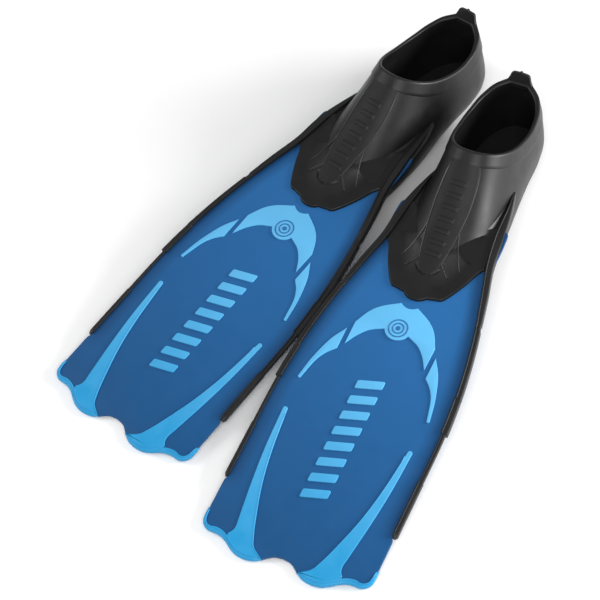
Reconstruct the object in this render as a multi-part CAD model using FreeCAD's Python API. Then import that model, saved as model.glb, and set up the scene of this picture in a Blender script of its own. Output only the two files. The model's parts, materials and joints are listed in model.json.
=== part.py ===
import FreeCAD, Part

import math
import os

# A pair of full-foot swim fins, lying side by side with their heels together.
# Each fin is drawn in its own frame and then laid on the floor:
# x runs across it, y runs from the blade tip to the heel, and z is square to the blade.
# Millimetres throughout.

# ---- driving dimensions -------------------------------------------------
RAIL_LINE = 92.3            # half width between the side rails over the lower blade
TAPER_START = 170.0         # the rails run parallel up to here
TAPER_RATE = 0.00072        # then they close in with the square of the distance
PLATE = 3.0                 # blade thickness
HINGE_Y = 329.0             # line across the blade root about which it flexes
FLEX_GAP = 0.3              # radial gap of the two halves at that line
RAIL_END_Y = 76.0           # the rails stop short of the tip
INLAY = 1.5                 # how far the bonded inlays stand above the blade

SOLE_ANGLE = 12.0           # slope of the foot against the blade, degrees
SOLE_START = (345.0, -20.0) # y and z of the sole line under the toes
WALL = 4.0                  # rubber wall of the foot pocket
RIM_DIP = (597.0, 8.0)      # y and z of the lowest line of the dished opening
RIM_RATE = 0.0046           # the opening rises from there with the square of the distance
COLLAR = 20.0               # height of the cuff round the opening
TAB_PIVOT = (622.5, 7.0)    # y and z of the line about which the heel tab bends
TAB_NOTCH = (617.5, 4.0)    # the cuff is cut away behind this y and above this z for the tab

REST_ANGLE = 7.2            # tilt of the blade when tip and heel both touch the floor
FAN_ANGLE = 6.8             # each fin is turned inwards at the heel by this much
TIP_SPACING = 247.0         # between the two blade centre lines at the tip
TIP_STAGGER = 54.0          # one fin lies this much further back than the other

HALF_PLATE = PLATE / 2
INLAY_TOP = HALF_PLATE + INLAY
SOLE_SLOPE = math.tan(math.radians(SOLE_ANGLE))

V = FreeCAD.Vector
X_AXIS = V(1, 0, 0)
Z_AXIS = V(0, 0, 1)


# ---- drawing helpers ----------------------------------------------------
def rail_line(y):
    """Half width of the blade between its rails."""
    return RAIL_LINE - TAPER_RATE * max(0.0, y - TAPER_START) ** 2


def rail_edges(y0, y1, offset, z):
    """The rail line between two stations, moved out by offset: straight, then an exact parabola."""
    edges = []
    if y0 < TAPER_START:
        straight_end = min(y1, TAPER_START)
        edges.append(line((RAIL_LINE + offset, y0), (RAIL_LINE + offset, straight_end), z))
        y0 = straight_end
    if y1 > y0:
        slope = -2 * TAPER_RATE * (y0 - TAPER_START)
        middle = (y0 + y1) / 2
        bend = Part.BezierCurve()
        bend.setPoles([V(rail_line(y0) + offset, y0, z),
                       V(rail_line(y0) + offset + slope * (middle - y0), middle, z),
                       V(rail_line(y1) + offset, y1, z)])
        edges.append(bend.toShape())
    return edges


def arc(a, b, c, z):
    """Arc through three (x, y) points at one height."""
    return Part.Arc(V(a[0], a[1], z), V(b[0], b[1], z), V(c[0], c[1], z)).toShape()


def line(a, b, z):
    return Part.LineSegment(V(a[0], a[1], z), V(b[0], b[1], z)).toShape()


def curve(points, z):
    """Smooth curve through (x, y) points at one height."""
    spline = Part.BSplineCurve()
    spline.interpolate([V(x, y, z) for x, y in points])
    return spline.toShape()


def prism(edges, height):
    """Closed outline pushed straight up."""
    wire = Part.Wire(Part.__sortEdges__(edges))
    return Part.Face(wire).extrude(V(0, 0, height))


def box(x0, x1, y0, y1, z0, z1):
    return Part.makeBox(x1 - x0, y1 - y0, z1 - z0, V(x0, y0, z0))


def mirrored(shape):
    """The same shape on the other side of the fin's centre line."""
    return shape.mirror(V(0, 0, 0), X_AXIS)


def slab(origin, slope, low, high):
    """Everything between two parallel planes that slope along y, low and high above a line."""
    reach = 800.0
    block = box(-reach, reach, -reach, reach, low, high)
    block.rotate(V(0, 0, 0), X_AXIS, math.degrees(math.atan(slope)))
    block.translate(V(0, origin[0], origin[1]))
    return block


def flex_cylinder(radius, x0, x1):
    """Round bar along the line about which the blade flexes."""
    return Part.makeCylinder(radius, x1 - x0, V(x0, HINGE_Y, 0), X_AXIS)


def single(shape):
    """Largest solid of a boolean result."""
    return max(shape.Solids, key=lambda solid: solid.Volume)


# ---- blade --------------------------------------------------------------
LIP_RISE = 1.2              # how far the bead round the tip stands proud of the blade, above and below
TIP_NOTCH = [(0.0, 15.0), (9.0, 13.5), (15.0, 9.8), (19.5, 6.0)]
TIP_EDGE = [(19.5, 6.0), (27.5, 1.6), (38.0, 0.0), (47.5, 1.4), (55.0, 5.0), (62.5, 10.2), (70.0, 13.8),
            (77.5, 15.0), (85.0, 15.0), (91.0, 18.3), (94.6, 24.5), (95.5, 38.0)]
BEAD_LINE = [(19.5, 6.0), (27.5, 6.8), (38.0, 5.6), (47.5, 6.8), (55.0, 10.6), (62.5, 16.0), (70.0, 19.6),
             (77.5, 20.8), (84.0, 19.8), (89.0, 21.8), (91.8, 27.0), (92.8, 38.0)]
BLADE_SIDE = 94.3           # half width of the blade just above the bead


def blade_panel():
    """Flexing blade: scalloped tip, and a round nose along its root."""
    z = -HALF_PLATE
    bead_end = BEAD_LINE[-1]
    corner = (BLADE_SIDE, bead_end[1])
    shoulder = (BLADE_SIDE, RAIL_END_Y - 4.0)
    edges = [curve(TIP_NOTCH, z), curve(BEAD_LINE, z), line(bead_end, corner, z), line(corner, shoulder, z),
             line(shoulder, (rail_line(RAIL_END_Y), RAIL_END_Y), z),
             line((rail_line(HINGE_Y), HINGE_Y), (0.0, HINGE_Y), z), line((0.0, HINGE_Y), TIP_NOTCH[0], z)]
    half = prism(edges + rail_edges(RAIL_END_Y, HINGE_Y, 0.0, z), PLATE)
    half = half.fuse(flex_cylinder(HALF_PLATE, 0, rail_line(HINGE_Y)))
    return half.fuse(mirrored(half)).removeSplitter()


FLARE_INNER = [(21.0, 7.0), (27.0, 10.8), (32.5, 15.3), (36.0, 22.0), (42.8, 40.0), (54.8, 80.0), (62.5, 120.0),
               (68.0, 167.0)]
FLARE_TIP = (70.6, 170.0)
FLARE_OUTER = [(73.2, 167.0), (70.7, 120.0), (66.5, 80.0), (61.0, 40.0), (59.5, 30.0), (60.3, 24.0), (63.5, 19.5)]
FLARE_FOOT = [(63.5, 14.5), (55.0, 7.5), (47.5, 4.0), (38.0, 2.8), (27.5, 4.3), (21.0, 6.2)]


def lip_and_flare():
    """Bead round one side of the tip, and the thorn-shaped flare that grows out of it."""
    low = -HALF_PLATE - LIP_RISE
    bead = prism([curve(TIP_EDGE, low), line(TIP_EDGE[-1], BEAD_LINE[-1], low), curve(BEAD_LINE, low)], -2 * low)
    z = HALF_PLATE
    flare = prism([curve(FLARE_INNER, z), arc(FLARE_INNER[-1], FLARE_TIP, FLARE_OUTER[0], z),
                   curve(FLARE_OUTER, z), line(FLARE_OUTER[-1], FLARE_FOOT[0], z), curve(FLARE_FOOT, z),
                   line(FLARE_FOOT[-1], FLARE_INNER[0], z)], INLAY)
    return single(bead.fuse(flare))


EMBLEM_Y = 295.5
EMBLEM_R = 14.0
ARCH_TOP = (9.4, 325.0)
ARM_HIGH = (45.8, 287.0)
ARM_LOW = (45.2, 260.0)


def arch():
    """Arched inlay across the blade root, open in the middle for the round badge."""
    z = HALF_PLATE
    shoulder = (EMBLEM_R - 0.5, EMBLEM_Y - 5.0)
    belly = EMBLEM_Y - EMBLEM_R - 1.5
    right = [arc((0, 321.5), (5.5, 322.5), ARCH_TOP, z),
             curve([ARCH_TOP, (27.0, 314.5), (37.5, 303.5), ARM_HIGH], z),
             line(ARM_HIGH, ARM_LOW, z),
             curve([ARM_LOW, (37.5, 273.0), (27.5, 283.5), shoulder], z),
             arc(shoulder, (9.5, 283.5), (0, belly), z)]
    half = prism(right + [line((0, belly), (0, 321.5), z)], INLAY)
    whole = half.fuse(mirrored(half)).removeSplitter()
    return whole.cut(Part.makeCylinder(EMBLEM_R - 3.0, 10, V(0, EMBLEM_Y, 0)))


def badge():
    """Plain round badge in the arch."""
    disc = Part.makeCylinder(EMBLEM_R - 3.0, INLAY, V(0, EMBLEM_Y, HALF_PLATE))
    groove_out = Part.makeCylinder(EMBLEM_R - 5.5, 1, V(0, EMBLEM_Y, INLAY_TOP - 0.5))
    groove_in = Part.makeCylinder(EMBLEM_R - 7.0, 1, V(0, EMBLEM_Y, INLAY_TOP - 0.5))
    return disc.cut(groove_out.cut(groove_in))


def tail():
    """Tapering inlay that carries the arch on towards the rail."""
    z = HALF_PLATE
    high = (51.0, 277.0)
    low = (50.7, 251.4)
    end_out = (74.6, 208.0)
    end_in = (71.4, 208.0)
    return prism([curve([high, (62.0, 258.0), (70.0, 233.0), end_out], z),
                  arc(end_out, (73.2, 206.0), end_in, z),
                  curve([end_in, (66.0, 229.0), (59.5, 242.0), low], z),
                  line(low, high, z)], INLAY)


BAR_COUNT = 8
BAR_PITCH = 19.0
BAR_FIRST = 86.0


def accent_bars():
    """Row of slanted raised bars along the middle of the blade."""
    half = 14.0
    slant = 4.0
    depth = 10.0
    bars = []
    for i in range(BAR_COUNT):
        y = BAR_FIRST + i * BAR_PITCH
        corners = [(-half, y - slant), (half, y + slant), (half, y + slant + depth), (-half, y - slant + depth)]
        edges = [line(a, b, HALF_PLATE) for a, b in zip(corners, corners[1:] + corners[:1])]
        bars.append(prism(edges, INLAY))
    return Part.makeCompound(bars)


# ---- side rails ---------------------------------------------------------
# first and last station, distance inside the rail line, width and height of each stretch of the rail
FOOT = (RAIL_END_Y, 142.0, 1.0, 5.5, 8.0)
SLIM = (142.0, 199.5, 0.0, 4.0, 7.0)
SLEEVE = (199.5, 241.0, 1.0, 7.0, 10.0)
UPPER = (241.0, HINGE_Y, 0.0, 6.0, 11.0)
RAIL_WIDTH, RAIL_HEIGHT = UPPER[3:]


def rail_stretch(y0, y1, inset, width, height):
    """Bar that follows the blade's side between two stations."""
    z = -height / 2
    inner = -inset
    outer = width - inset
    low_end = line((rail_line(y0) + inner, y0), (rail_line(y0) + outer, y0), z)
    high_end = line((rail_line(y1) + inner, y1), (rail_line(y1) + outer, y1), z)
    return prism(rail_edges(y0, y1, inner, z) + rail_edges(y0, y1, outer, z) + [low_end, high_end], height)


def flex_rail():
    """Right rail of the flexing blade: four stretches of their own size, round nose at the root."""
    rail = rail_stretch(*FOOT)
    for stretch in (SLIM, SLEEVE, UPPER):
        rail = rail.fuse(rail_stretch(*stretch))
    inner = rail_line(HINGE_Y) + FLEX_GAP
    nose = flex_cylinder(RAIL_HEIGHT / 2, inner, rail_line(HINGE_Y) + RAIL_WIDTH)
    nose = nose.common(box(0, 120, HINGE_Y, HINGE_Y + 20, -20, 20))
    return single(rail.fuse(nose).removeSplitter().cut(blade_panel()))


WING_INNER = [(56.5, 397.0), (52.0, 425.0), (49.0, 455.0)]
WING_OUTER = [(64.5, 397.0), (61.5, 425.0), (57.0, 455.0)]
WING_TIP = [(47.0, 484.0), (50.5, 484.0)]
BEND_Y = 440.0              # from here on the wing runs parallel to the sole


def root_line():
    """Points of the face where the blade root meets the rail beside the foot."""
    return [(rail_line(HINGE_Y), HINGE_Y), (rail_line(365.0), 365.0)] + WING_INNER


def root_rail():
    """Right rail beside the foot pocket, ending in a pointed wing."""
    half = RAIL_HEIGHT / 2
    low = -4 * half
    inner = root_line() + WING_TIP[:1]
    outer = [(inner[0][0] + RAIL_WIDTH, HINGE_Y), (inner[1][0] + 7.5, inner[1][1])] + WING_OUTER + WING_TIP[1:]
    wing = prism([curve(inner, low), line(inner[-1], outer[-1], low), curve(outer, low),
                  line(outer[0], inner[0], low)], half - low)
    level = box(0, 120, HINGE_Y - 10, BEND_Y, -half, half)
    sloping = slab((BEND_Y, 0.0), -SOLE_SLOPE, -half, half).common(box(0, 120, BEND_Y, 600, -60, 60))
    wing = wing.common(level.fuse(sloping))
    wing = wing.cut(flex_cylinder(half + FLEX_GAP, 0, 120))
    return single(wing.cut(pocket_form(1.0)))


# ---- foot pocket --------------------------------------------------------
# y, half width, bottom and top of the pocket's outside; the opening and the sole are cut flat later
STATIONS = [(347.0, 30.0, -26.0, 0.0), (360.0, 45.0, -34.0, 4.5), (395.0, 55.0, -44.0, 14.5),
            (430.0, 57.0, -52.0, 26.0), (470.0, 54.0, -61.0, 43.0), (500.0, 51.0, -67.0, 58.0),
            (535.0, 48.0, -75.0, 76.0), (575.0, 45.0, -83.0, 80.0), (600.0, 38.5, -87.0, 80.0),
            (616.0, 27.5, -88.0, 78.0), (624.0, 16.0, -87.0, 74.0)]
SQUARENESS = 2.5            # how boxy the cross-section is; 2 would be an ellipse
LEAN = 0.26                 # how much the sides close in towards the top


def section(y, half_width, low, high):
    """One cross-section of the pocket, as a closed smooth wire."""
    count = 20
    middle = (low + high) / 2
    half_height = (high - low) / 2
    points = []
    for i in range(count):
        angle = 2 * math.pi * i / count
        c = math.cos(angle)
        s = math.sin(angle)
        rise = math.copysign(abs(s) ** (2 / SQUARENESS), s)
        width = half_width * (1 - LEAN * (rise + 0.5))
        x = width * math.copysign(abs(c) ** (2 / SQUARENESS), c)
        points.append(V(x, y, middle + half_height * rise))
    spline = Part.BSplineCurve()
    spline.interpolate(points, PeriodicFlag=True)
    return Part.Wire(spline.toShape())


def pocket_form(grow):
    """Outside of the foot pocket, grown or shrunk, before the opening and the sole are cut."""
    first = STATIONS[0][0]
    last = STATIONS[-1][0]
    wires = []
    for y, half_width, low, high in STATIONS:
        y_moved = y + grow * (2 * (y - first) / (last - first) - 1)
        wires.append(section(y_moved, half_width + grow, low - grow, high + grow))
    return Part.makeLoft(wires, True, False)


def above_sole(low, high):
    return slab(SOLE_START, -SOLE_SLOPE, low, high)


def rim_z(y):
    """Height of the dished opening's edge."""
    return RIM_DIP[1] + RIM_RATE * (y - RIM_DIP[0]) ** 2


def above_rim(lift):
    """Everything above the opening's edge, or above that line moved by lift."""
    y0 = 440.0
    y1 = 660.0
    middle = (y0 + y1) / 2
    slope = 2 * RIM_RATE * (y0 - RIM_DIP[0])
    bend = Part.BezierCurve()
    bend.setPoles([V(-200, y0, rim_z(y0) + lift), V(-200, middle, rim_z(y0) + lift + slope * (middle - y0)),
                   V(-200, y1, rim_z(y1) + lift)])
    lid = Part.LineSegment(V(-200, y0, 300), V(-200, y1, 300)).toShape()
    ends = [Part.LineSegment(V(-200, y, rim_z(y) + lift), V(-200, y, 300)).toShape() for y in (y0, y1)]
    outline = Part.Wire(Part.__sortEdges__([bend.toShape(), lid] + ends))
    return Part.Face(outline).extrude(V(400, 0, 0))


def pocket_upper():
    """Rubber shoe, closed over the toes and instep and open at the ankle."""
    shell = pocket_form(0.0).cut(above_sole(-300, 0)).cut(above_rim(-COLLAR))
    cavity = pocket_form(-WALL).cut(above_sole(-300, WALL))
    return single(shell.cut(cavity))


def rim_collar():
    """Cuff round the ankle opening, a little thicker than the shoe, notched at the heel for the pull tab."""
    ring = pocket_form(1.2).common(above_rim(-COLLAR)).cut(above_rim(0)).cut(above_sole(-300, 0))
    ring = single(ring.cut(pocket_form(-WALL)))
    notch = box(-TAB_BASE_HALF - 1, TAB_BASE_HALF + 1, TAB_NOTCH[0], 700, TAB_NOTCH[1], 60)
    return single(ring.cut(notch))


def footbed():
    """Inner sole that the foot stands on."""
    return single(pocket_form(-WALL).common(above_sole(WALL, WALL + 3.0)))


def outsole():
    """Tread plate under the whole foot."""
    z = -120.0
    toe = (0.0, 356.0)
    ball = (48.0, 420.0)
    heel = (28.0, 590.0)
    back = (0.0, 612.0)
    half = prism([curve([toe, (35.0, 370.0), ball, (40.0, 500.0), heel], z), arc(heel, (20.0, 604.0), back, z),
                  line(back, toe, z)], 300)
    plan = half.fuse(mirrored(half)).removeSplitter()
    return plan.common(above_sole(-3.0, 0))


def tread_ribs():
    """Cross ribs under the ball of the foot."""
    ribs = []
    for i in range(7):
        y = 385.0 + 11.0 * i
        ribs.append(box(-32, 32, y, y + 5.0, -120, 0).common(above_sole(-4.6, -3.0)))
    return Part.makeCompound(ribs)


def heel_pad():
    """Wedge under the heel whose flat face rests on the floor."""
    z = -120.0
    half = prism([line((0, 560), (27.0, 560), z), line((27.0, 560), (27.0, 588), z),
                  arc((27.0, 588), (20.0, 598), (0, 602), z), line((0, 602), (0, 560), z)], 200)
    plan = half.fuse(mirrored(half)).removeSplitter()
    floor = slab((0.0, -HALF_PLATE - LIP_RISE), -math.tan(math.radians(REST_ANGLE)), -300, 0)
    return single(plan.common(above_sole(-30, -3.0)).cut(floor))


def toe_apron():
    """Lobed rubber apron that grips the blade root in front of the instep."""
    z = HALF_PLATE
    front = (0.0, 333.0)
    notch = (13.0, 338.5)
    side = (51.0, 400.0)
    back = (48.0, 440.0)
    half = prism([arc(front, (8.0, 334.5), notch, z), curve([notch, (31.0, 343.5), (44.0, 366.0), side], z),
                  line(side, back, z), line(back, (0, back[1]), z), line((0, back[1]), front, z)], 3.0)
    plan = half.fuse(mirrored(half)).removeSplitter()
    return single(plan.cut(pocket_form(0.0)).cut(panel_plan()))


def panel_plan():
    """Round-fronted, bulging plan over the instep, as a tall prism."""
    z = -5.0
    front = (0.0, 364.5)
    start = (12.5, 377.0)
    end = (17.5, 490.0)
    half = prism([arc(front, (8.8, 368.2), start, z), curve([start, (18.0, 415.0), (20.0, 450.0), end], z),
                  line(end, (0, end[1]), z), line((0, end[1]), front, z)], 120)
    return half.fuse(mirrored(half)).removeSplitter()


def instep_panel():
    """Softer raised panel over the instep."""
    skin = pocket_form(1.2).cut(pocket_form(0.0)).common(panel_plan())
    return single(skin.cut(above_rim(-COLLAR)))


def instep_ribs():
    """Raised cross ribs on the instep panel."""
    skin = pocket_form(2.2).cut(pocket_form(1.2))
    ribs = []
    for i in range(7):
        y = 384.0 + 12.5 * i
        ribs.append(single(skin.common(box(-9.5, 9.5, y, y + 5.0, 0, 90))))
    return Part.makeCompound(ribs)


def root_plate():
    """Stiff blade root: a plate under the apron with two arms beside the foot."""
    inner = root_line()
    z = -HALF_PLATE
    end = inner[-1]
    half = prism([curve(inner, z), line(end, (0, end[1]), z), line((0, end[1]), (0, HINGE_Y), z),
                  line((0, HINGE_Y), inner[0], z)], PLATE)
    plan = half.fuse(mirrored(half)).removeSplitter()
    plan = plan.cut(flex_cylinder(HALF_PLATE + FLEX_GAP, -120, 120))
    return single(plan.cut(pocket_form(0.0)))


TAB_BASE_HALF = 15.0
TAB_TOP_HALF = 9.5
TAB_THICK = 4.0
TAB_LENGTH = 16.0


def pull_tab():
    """Tongue at the back of the opening, wide at its base, that bends about that base."""
    pivot = V(0, TAB_PIVOT[0], TAB_PIVOT[1])
    r = TAB_THICK / 2
    barrel = Part.makeCylinder(r, 2 * TAB_BASE_HALF, V(-TAB_BASE_HALF, pivot.y, pivot.z), X_AXIS)
    corners = [(-TAB_BASE_HALF, 0.0), (TAB_BASE_HALF, 0.0), (TAB_TOP_HALF, TAB_LENGTH), (-TAB_TOP_HALF, TAB_LENGTH)]
    outline = [V(x, pivot.y - r, pivot.z + rise) for x, rise in corners]
    plate = Part.Face(Part.makePolygon(outline + outline[:1])).extrude(V(0, TAB_THICK, 0))
    tips = [edge for edge in plate.Edges if abs(edge.CenterOfMass.x) > TAB_TOP_HALF - 0.1
            and edge.CenterOfMass.z > pivot.z + TAB_LENGTH - 0.1]
    tab = barrel.fuse(plate.makeFillet(5.0, tips)).removeSplitter()
    tab.rotate(pivot, X_AXIS, -30)
    return tab


# ---- the pair -----------------------------------------------------------
def fin_nodes():
    """Every piece of one fin, in the fin's own frame."""
    right = {"lip": lip_and_flare(), "tail": tail(), "rail": flex_rail(), "rail_root": root_rail()}
    nodes = {"blade_panel": blade_panel(), "root_plate": root_plate(), "arch": arch(), "badge": badge(),
             "accent_bars": accent_bars(), "pocket_upper": pocket_upper(), "rim_collar": rim_collar(),
             "footbed": footbed(), "outsole": outsole(), "tread_ribs": tread_ribs(), "heel_pad": heel_pad(),
             "toe_apron": toe_apron(), "instep_panel": instep_panel(), "instep_ribs": instep_ribs(),
             "pull_tab": pull_tab()}
    for name, shape in right.items():
        nodes[name + "_right"] = shape
        nodes[name + "_left"] = mirrored(shape)
    return nodes


def laid_down(shape, turn, tip_x, tip_y):
    """The shape tilted so that tip and heel touch the floor, turned, and moved to its place."""
    placed = shape.copy()
    placed.rotate(V(0, 0, 0), X_AXIS, REST_ANGLE)
    placed.rotate(V(0, 0, 0), Z_AXIS, turn)
    placed.translate(V(tip_x, tip_y, 0))
    return placed


def main():
    os.makedirs("parts", exist_ok=True)
    one_fin = fin_nodes()
    lay = {"fin_a_": (-FAN_ANGLE, -TIP_SPACING / 2, TIP_STAGGER / 2),
           "fin_b_": (FAN_ANGLE, TIP_SPACING / 2, -TIP_STAGGER / 2)}
    pair = {}
    for prefix, (turn, tip_x, tip_y) in lay.items():
        for name, shape in one_fin.items():
            pair[prefix + name] = laid_down(shape, turn, tip_x, tip_y)
    bounds = Part.makeCompound(list(pair.values())).optimalBoundingBox()
    shift = V(-bounds.Center.x, -bounds.Center.y, -bounds.ZMin)
    for name, shape in pair.items():
        shape.translate(shift)
        shape.exportStep("parts/" + name + ".step")
    pivots = {"blade flex": V(0, HINGE_Y, 0), "pull tab": V(0, TAB_PIVOT[0], TAB_PIVOT[1])}
    for prefix, (turn, tip_x, tip_y) in lay.items():
        for label, point in pivots.items():
            where = Part.Vertex(point)
            where = laid_down(where, turn, tip_x, tip_y)
            where.translate(shift)
            print(prefix, label, [round(value, 4) for value in where.Point])
    print("size", round(bounds.XLength, 2), round(bounds.YLength, 2), round(bounds.ZLength, 2))


main()
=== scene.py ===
import json
import math

import bmesh
import bpy
import numpy as np
from mathutils import Matrix, Vector

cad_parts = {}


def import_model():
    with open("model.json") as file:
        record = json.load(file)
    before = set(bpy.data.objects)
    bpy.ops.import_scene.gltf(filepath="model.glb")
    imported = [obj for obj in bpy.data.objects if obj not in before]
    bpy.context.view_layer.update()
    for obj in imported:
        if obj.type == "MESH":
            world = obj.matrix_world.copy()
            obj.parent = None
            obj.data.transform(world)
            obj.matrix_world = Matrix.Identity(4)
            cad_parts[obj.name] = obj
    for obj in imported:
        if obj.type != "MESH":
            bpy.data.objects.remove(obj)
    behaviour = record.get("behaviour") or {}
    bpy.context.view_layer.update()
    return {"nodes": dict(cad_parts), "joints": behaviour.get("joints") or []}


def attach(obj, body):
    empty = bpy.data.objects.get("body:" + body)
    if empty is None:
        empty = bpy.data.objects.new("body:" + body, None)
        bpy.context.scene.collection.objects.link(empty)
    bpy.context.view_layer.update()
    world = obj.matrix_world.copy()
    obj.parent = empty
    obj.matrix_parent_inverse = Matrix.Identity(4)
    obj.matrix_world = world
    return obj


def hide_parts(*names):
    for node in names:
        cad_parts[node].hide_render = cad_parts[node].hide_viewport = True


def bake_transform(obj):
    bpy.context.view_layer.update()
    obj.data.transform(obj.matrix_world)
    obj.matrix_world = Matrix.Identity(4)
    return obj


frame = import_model()

# Both fins have one shape. It is drawn in a fin's own frame, in millimetres: x across, y from the
# blade tip to the heel, z square to the blade. The CAD joints say where that frame lies.
MM = 0.001
FINS = ("fin_a", "fin_b")
HINGE_Y = 329.0             # where the blade starts to flex
TAB_Y, TAB_Z = 622.5, 7.0   # where the heel tab bends
BLEND_REACH = 25.0          # faces are cut finely over this much either side of the hinge

RAIL_LINE = 92.3            # the rail's inner face follows this line, which bows inwards
TAPER_START = 170.0         # from here
TAPER_RATE = 0.00072
RAIL_END_Y = 76.0           # lower end of the rail
BLADE_SIDE = 94.3           # edge of the blade below the rail
HALF_PLATE = 1.5            # half the blade's thickness

SHARP_ANGLE = math.radians(40)
SAME_POINT = 0.05           # points closer than this are one point
MITRE_LIMIT = 1.4           # how far a corner may stretch when an outline is moved in


# ---- where the fins lie ---------------------------------------------------------------------
def joint(name):
    """The CAD joint of that name."""
    return next(j for j in frame["joints"] if j["name"] == name)


def fin_matrix(fin):
    """Fin frame in millimetres to row frame in metres, from the fin's two hinges."""
    flex = joint(fin + "_blade_flex")
    tab = joint(fin + "_tab_bend")
    across = Vector(flex["axis"]).normalized()
    root = Vector(flex["pos_m"])
    reach = (Vector(tab["pos_m"]) - root) / MM
    along, rise = TAB_Y - HINGE_Y, TAB_Z
    side = across.cross(reach)
    length = along ** 2 + rise ** 2
    heelward = (along * reach - rise * side) / length
    upward = (rise * reach + along * side) / length
    turn = Matrix((across, heelward, upward)).transposed().to_4x4()
    return Matrix.Translation(root) @ turn @ Matrix.Scale(MM, 4) @ Matrix.Translation((0, -HINGE_Y, 0))


PLACE = {fin: fin_matrix(fin) for fin in FINS}


# ---- making pieces --------------------------------------------------------------------------
def piece(fin, name, shape, material, nodes, body=None):
    """Turns (points, faces) of the fin frame into an object, hung on its body.

    body is "foot", "blade" or "tab"; with None the piece hangs on no body and stays where it is."""
    points, faces = shape
    mesh = bpy.data.meshes.new(fin + "_" + name)
    mesh.from_pydata([tuple(p) for p in points], [], [tuple(f) for f in faces])
    mesh.validate()
    flat = np.array([v.co for v in mesh.vertices], np.float32).ravel()
    spot = mesh.attributes.new("fin_mm", "FLOAT_VECTOR", "POINT")
    spot.data.foreach_set("vector", flat)
    mesh.transform(PLACE[fin])
    mesh.shade_smooth()
    mesh.set_sharp_from_angle(angle=SHARP_ANGLE)
    mesh.materials.append(material)
    obj = bpy.data.objects.new(fin + "_" + name, mesh)
    bpy.context.collection.objects.link(obj)
    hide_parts(*[fin + "_" + node for node in nodes])
    if body:
        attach(obj, fin + "_" + body)
    else:
        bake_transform(obj)
    return obj


def joined(*shapes):
    """Several (points, faces) as one."""
    points, faces = [], []
    for more_points, more_faces in shapes:
        base = len(points)
        points += list(more_points)
        faces += [[base + i for i in face] for face in more_faces]
    return points, faces


def mirrored(shape):
    """The shape on the fin's other side."""
    points, faces = shape
    return [(-p[0], p[1], p[2]) for p in points], [list(reversed(face)) for face in faces]


def tube(rings, closed_ends=True):
    """Skin over a list of rings of equal length."""
    count = len(rings[0])
    points = [p for ring in rings for p in ring]
    faces = []
    for row in range(len(rings) - 1):
        for i in range(count):
            j = (i + 1) % count
            a, b = row * count, (row + 1) * count
            faces.append([a + i, a + j, b + j, b + i])
    if closed_ends:
        faces.append(list(reversed(range(count))))
        last = (len(rings) - 1) * count
        faces.append([last + i for i in range(count)])
    return points, faces


def opened(shape):
    """The shape as a bmesh."""
    points, faces = shape
    bm = bmesh.new()
    verts = [bm.verts.new(p) for p in points]
    for face in faces:
        bm.faces.new([verts[i] for i in face])
    return bm


def closed(bm):
    """The bmesh as (points, faces)."""
    bm.verts.index_update()
    result = [tuple(v.co) for v in bm.verts], [[v.index for v in f.verts] for f in bm.faces]
    bm.free()
    return result


def plane_cut(bm, point, normal, drop=False):
    """Cuts by a plane; drop removes what lies on the side the normal points to."""
    everything = bm.verts[:] + bm.edges[:] + bm.faces[:]
    cut = bmesh.ops.bisect_plane(bm, geom=everything, plane_co=point, plane_no=normal,
                                 clear_outer=drop)
    return [part for part in cut["geom_cut"] if isinstance(part, bmesh.types.BMEdge)]


def sliced(shape, spans):
    """Cuts big faces across y, so that they shade evenly."""
    bm = opened(shape)
    for low, high, step in spans:
        for y in np.arange(low, high, step):
            plane_cut(bm, (0, y, 0), (0, 1, 0))
    return closed(bm)


# ---- outlines -------------------------------------------------------------------------------
def rail_line(y):
    """Distance of the rail line from the middle."""
    return RAIL_LINE - TAPER_RATE * max(0.0, y - TAPER_START) ** 2


def arc(a, b, c, count=16):
    """Points on the circle through a, b and c, from a to c."""
    ax, ay = a
    bx, by = b
    cx, cy = c
    d = 2 * (ax * (by - cy) + bx * (cy - ay) + cx * (ay - by))
    a_square = ax * ax + ay * ay
    b_square = bx * bx + by * by
    c_square = cx * cx + cy * cy
    ux = (a_square * (by - cy) + b_square * (cy - ay) + c_square * (ay - by)) / d
    uy = (a_square * (cx - bx) + b_square * (ax - cx) + c_square * (bx - ax)) / d
    radius = math.hypot(ax - ux, ay - uy)
    t0 = math.atan2(ay - uy, ax - ux)
    t1 = math.atan2(by - uy, bx - ux)
    t2 = math.atan2(cy - uy, cx - ux)
    turn = (t2 - t0) % (2 * math.pi)
    if (t1 - t0) % (2 * math.pi) > turn:
        turn -= 2 * math.pi
    return [(ux + radius * math.cos(t0 + turn * i / count), uy + radius * math.sin(t0 + turn * i / count))
            for i in range(count + 1)]


def curve(points, count=12):
    """Smooth line through the points, count steps to each span."""
    knots = [np.array(p, float) for p in points]
    knots = [2 * knots[0] - knots[1]] + knots + [2 * knots[-1] - knots[-2]]
    out = []
    for p0, p1, p2, p3 in zip(knots, knots[1:], knots[2:], knots[3:]):
        for i in range(count):
            t = i / count
            bent = (2 * p0 - 5 * p1 + 4 * p2 - p3) * t ** 2
            twisted = (3 * p1 - p0 - 3 * p2 + p3) * t ** 3
            out.append(tuple(0.5 * (2 * p1 + (p2 - p0) * t + bent + twisted)))
    out.append(tuple(knots[-2]))
    return out


def chain(*runs):
    """Joins runs of points end to end without doubling the ends."""
    out = []
    for run in runs:
        for p in run:
            if not out or math.dist(out[-1], p) > SAME_POINT:
                out.append(tuple(p))
    if math.dist(out[0], out[-1]) < SAME_POINT:
        out.pop()
    return out


def both_halves(right):
    """Closed outline from its right half, which starts and ends on the middle line."""
    return chain(right, [(-x, y) for x, y in right[::-1]])


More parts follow.
